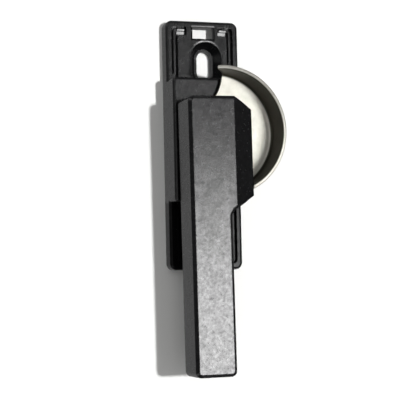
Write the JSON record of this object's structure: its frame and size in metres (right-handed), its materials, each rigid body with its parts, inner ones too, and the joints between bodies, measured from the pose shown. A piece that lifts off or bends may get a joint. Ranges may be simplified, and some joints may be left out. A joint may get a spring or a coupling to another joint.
{
  "type": "crescent sash lock",
  "caption": "Crescent sash lock: slotted base with a raised pivot housing, lever handle and cupped crescent cam that swings half a turn over a keeper.",
  "frame": {"origin": "point where the pivot axis meets the mounting face on the sash stile", "axes": "+Z out of the stile along the pivot, +Y up the stile, +X towards the crescent and the keeper"},
  "size_m": [0.0303, 0.1021, 0.0216],
  "materials": {
    "black_paint_base": "satin black paint on zinc die casting",
    "black_paint_handle": "fine orange-peel black paint on zinc die casting",
    "satin_crescent_steel": "tumbled satin nickel plate",
    "acetal_white": "turned acetal",
    "spring_steel": "blued spring steel",
    "zinc_plated_steel": "bright zinc plate",
    "rivet_steel": "plain bright steel",
    "spindle_steel": "turned steel",
    "sintered_steel": "sintered steel"
  },
  "bodies": {
    "base": {"base_casting": "black_paint_base", "pivot_bush": "acetal_white", "thrust_washer": "zinc_plated_steel", "stop_pins": "zinc_plated_steel", "leaf_spring_left": "spring_steel", "leaf_spring_right": "spring_steel", "back_plate": "zinc_plated_steel", "plate_rivets": "rivet_steel"},
    "lever": {"spindle": "spindle_steel", "disc_spring": "spring_steel", "stop_washer": "zinc_plated_steel", "detent_cam": "sintered_steel", "lock_washer": "zinc_plated_steel", "spindle_screw": "rivet_steel", "crescent": "satin_crescent_steel", "crescent_screws": "rivet_steel", "handle": "black_paint_handle"}
  },
  "joints": [
    {"name": "handle_turn", "type": "hinge", "parent": "base", "child": "lever", "pos_m": [0, 0, 0.008], "axis": [0, 0, 1], "range_deg": [-180, 0], "deforming": ["leaf_spring_left", "leaf_spring_right"]}
  ]
}
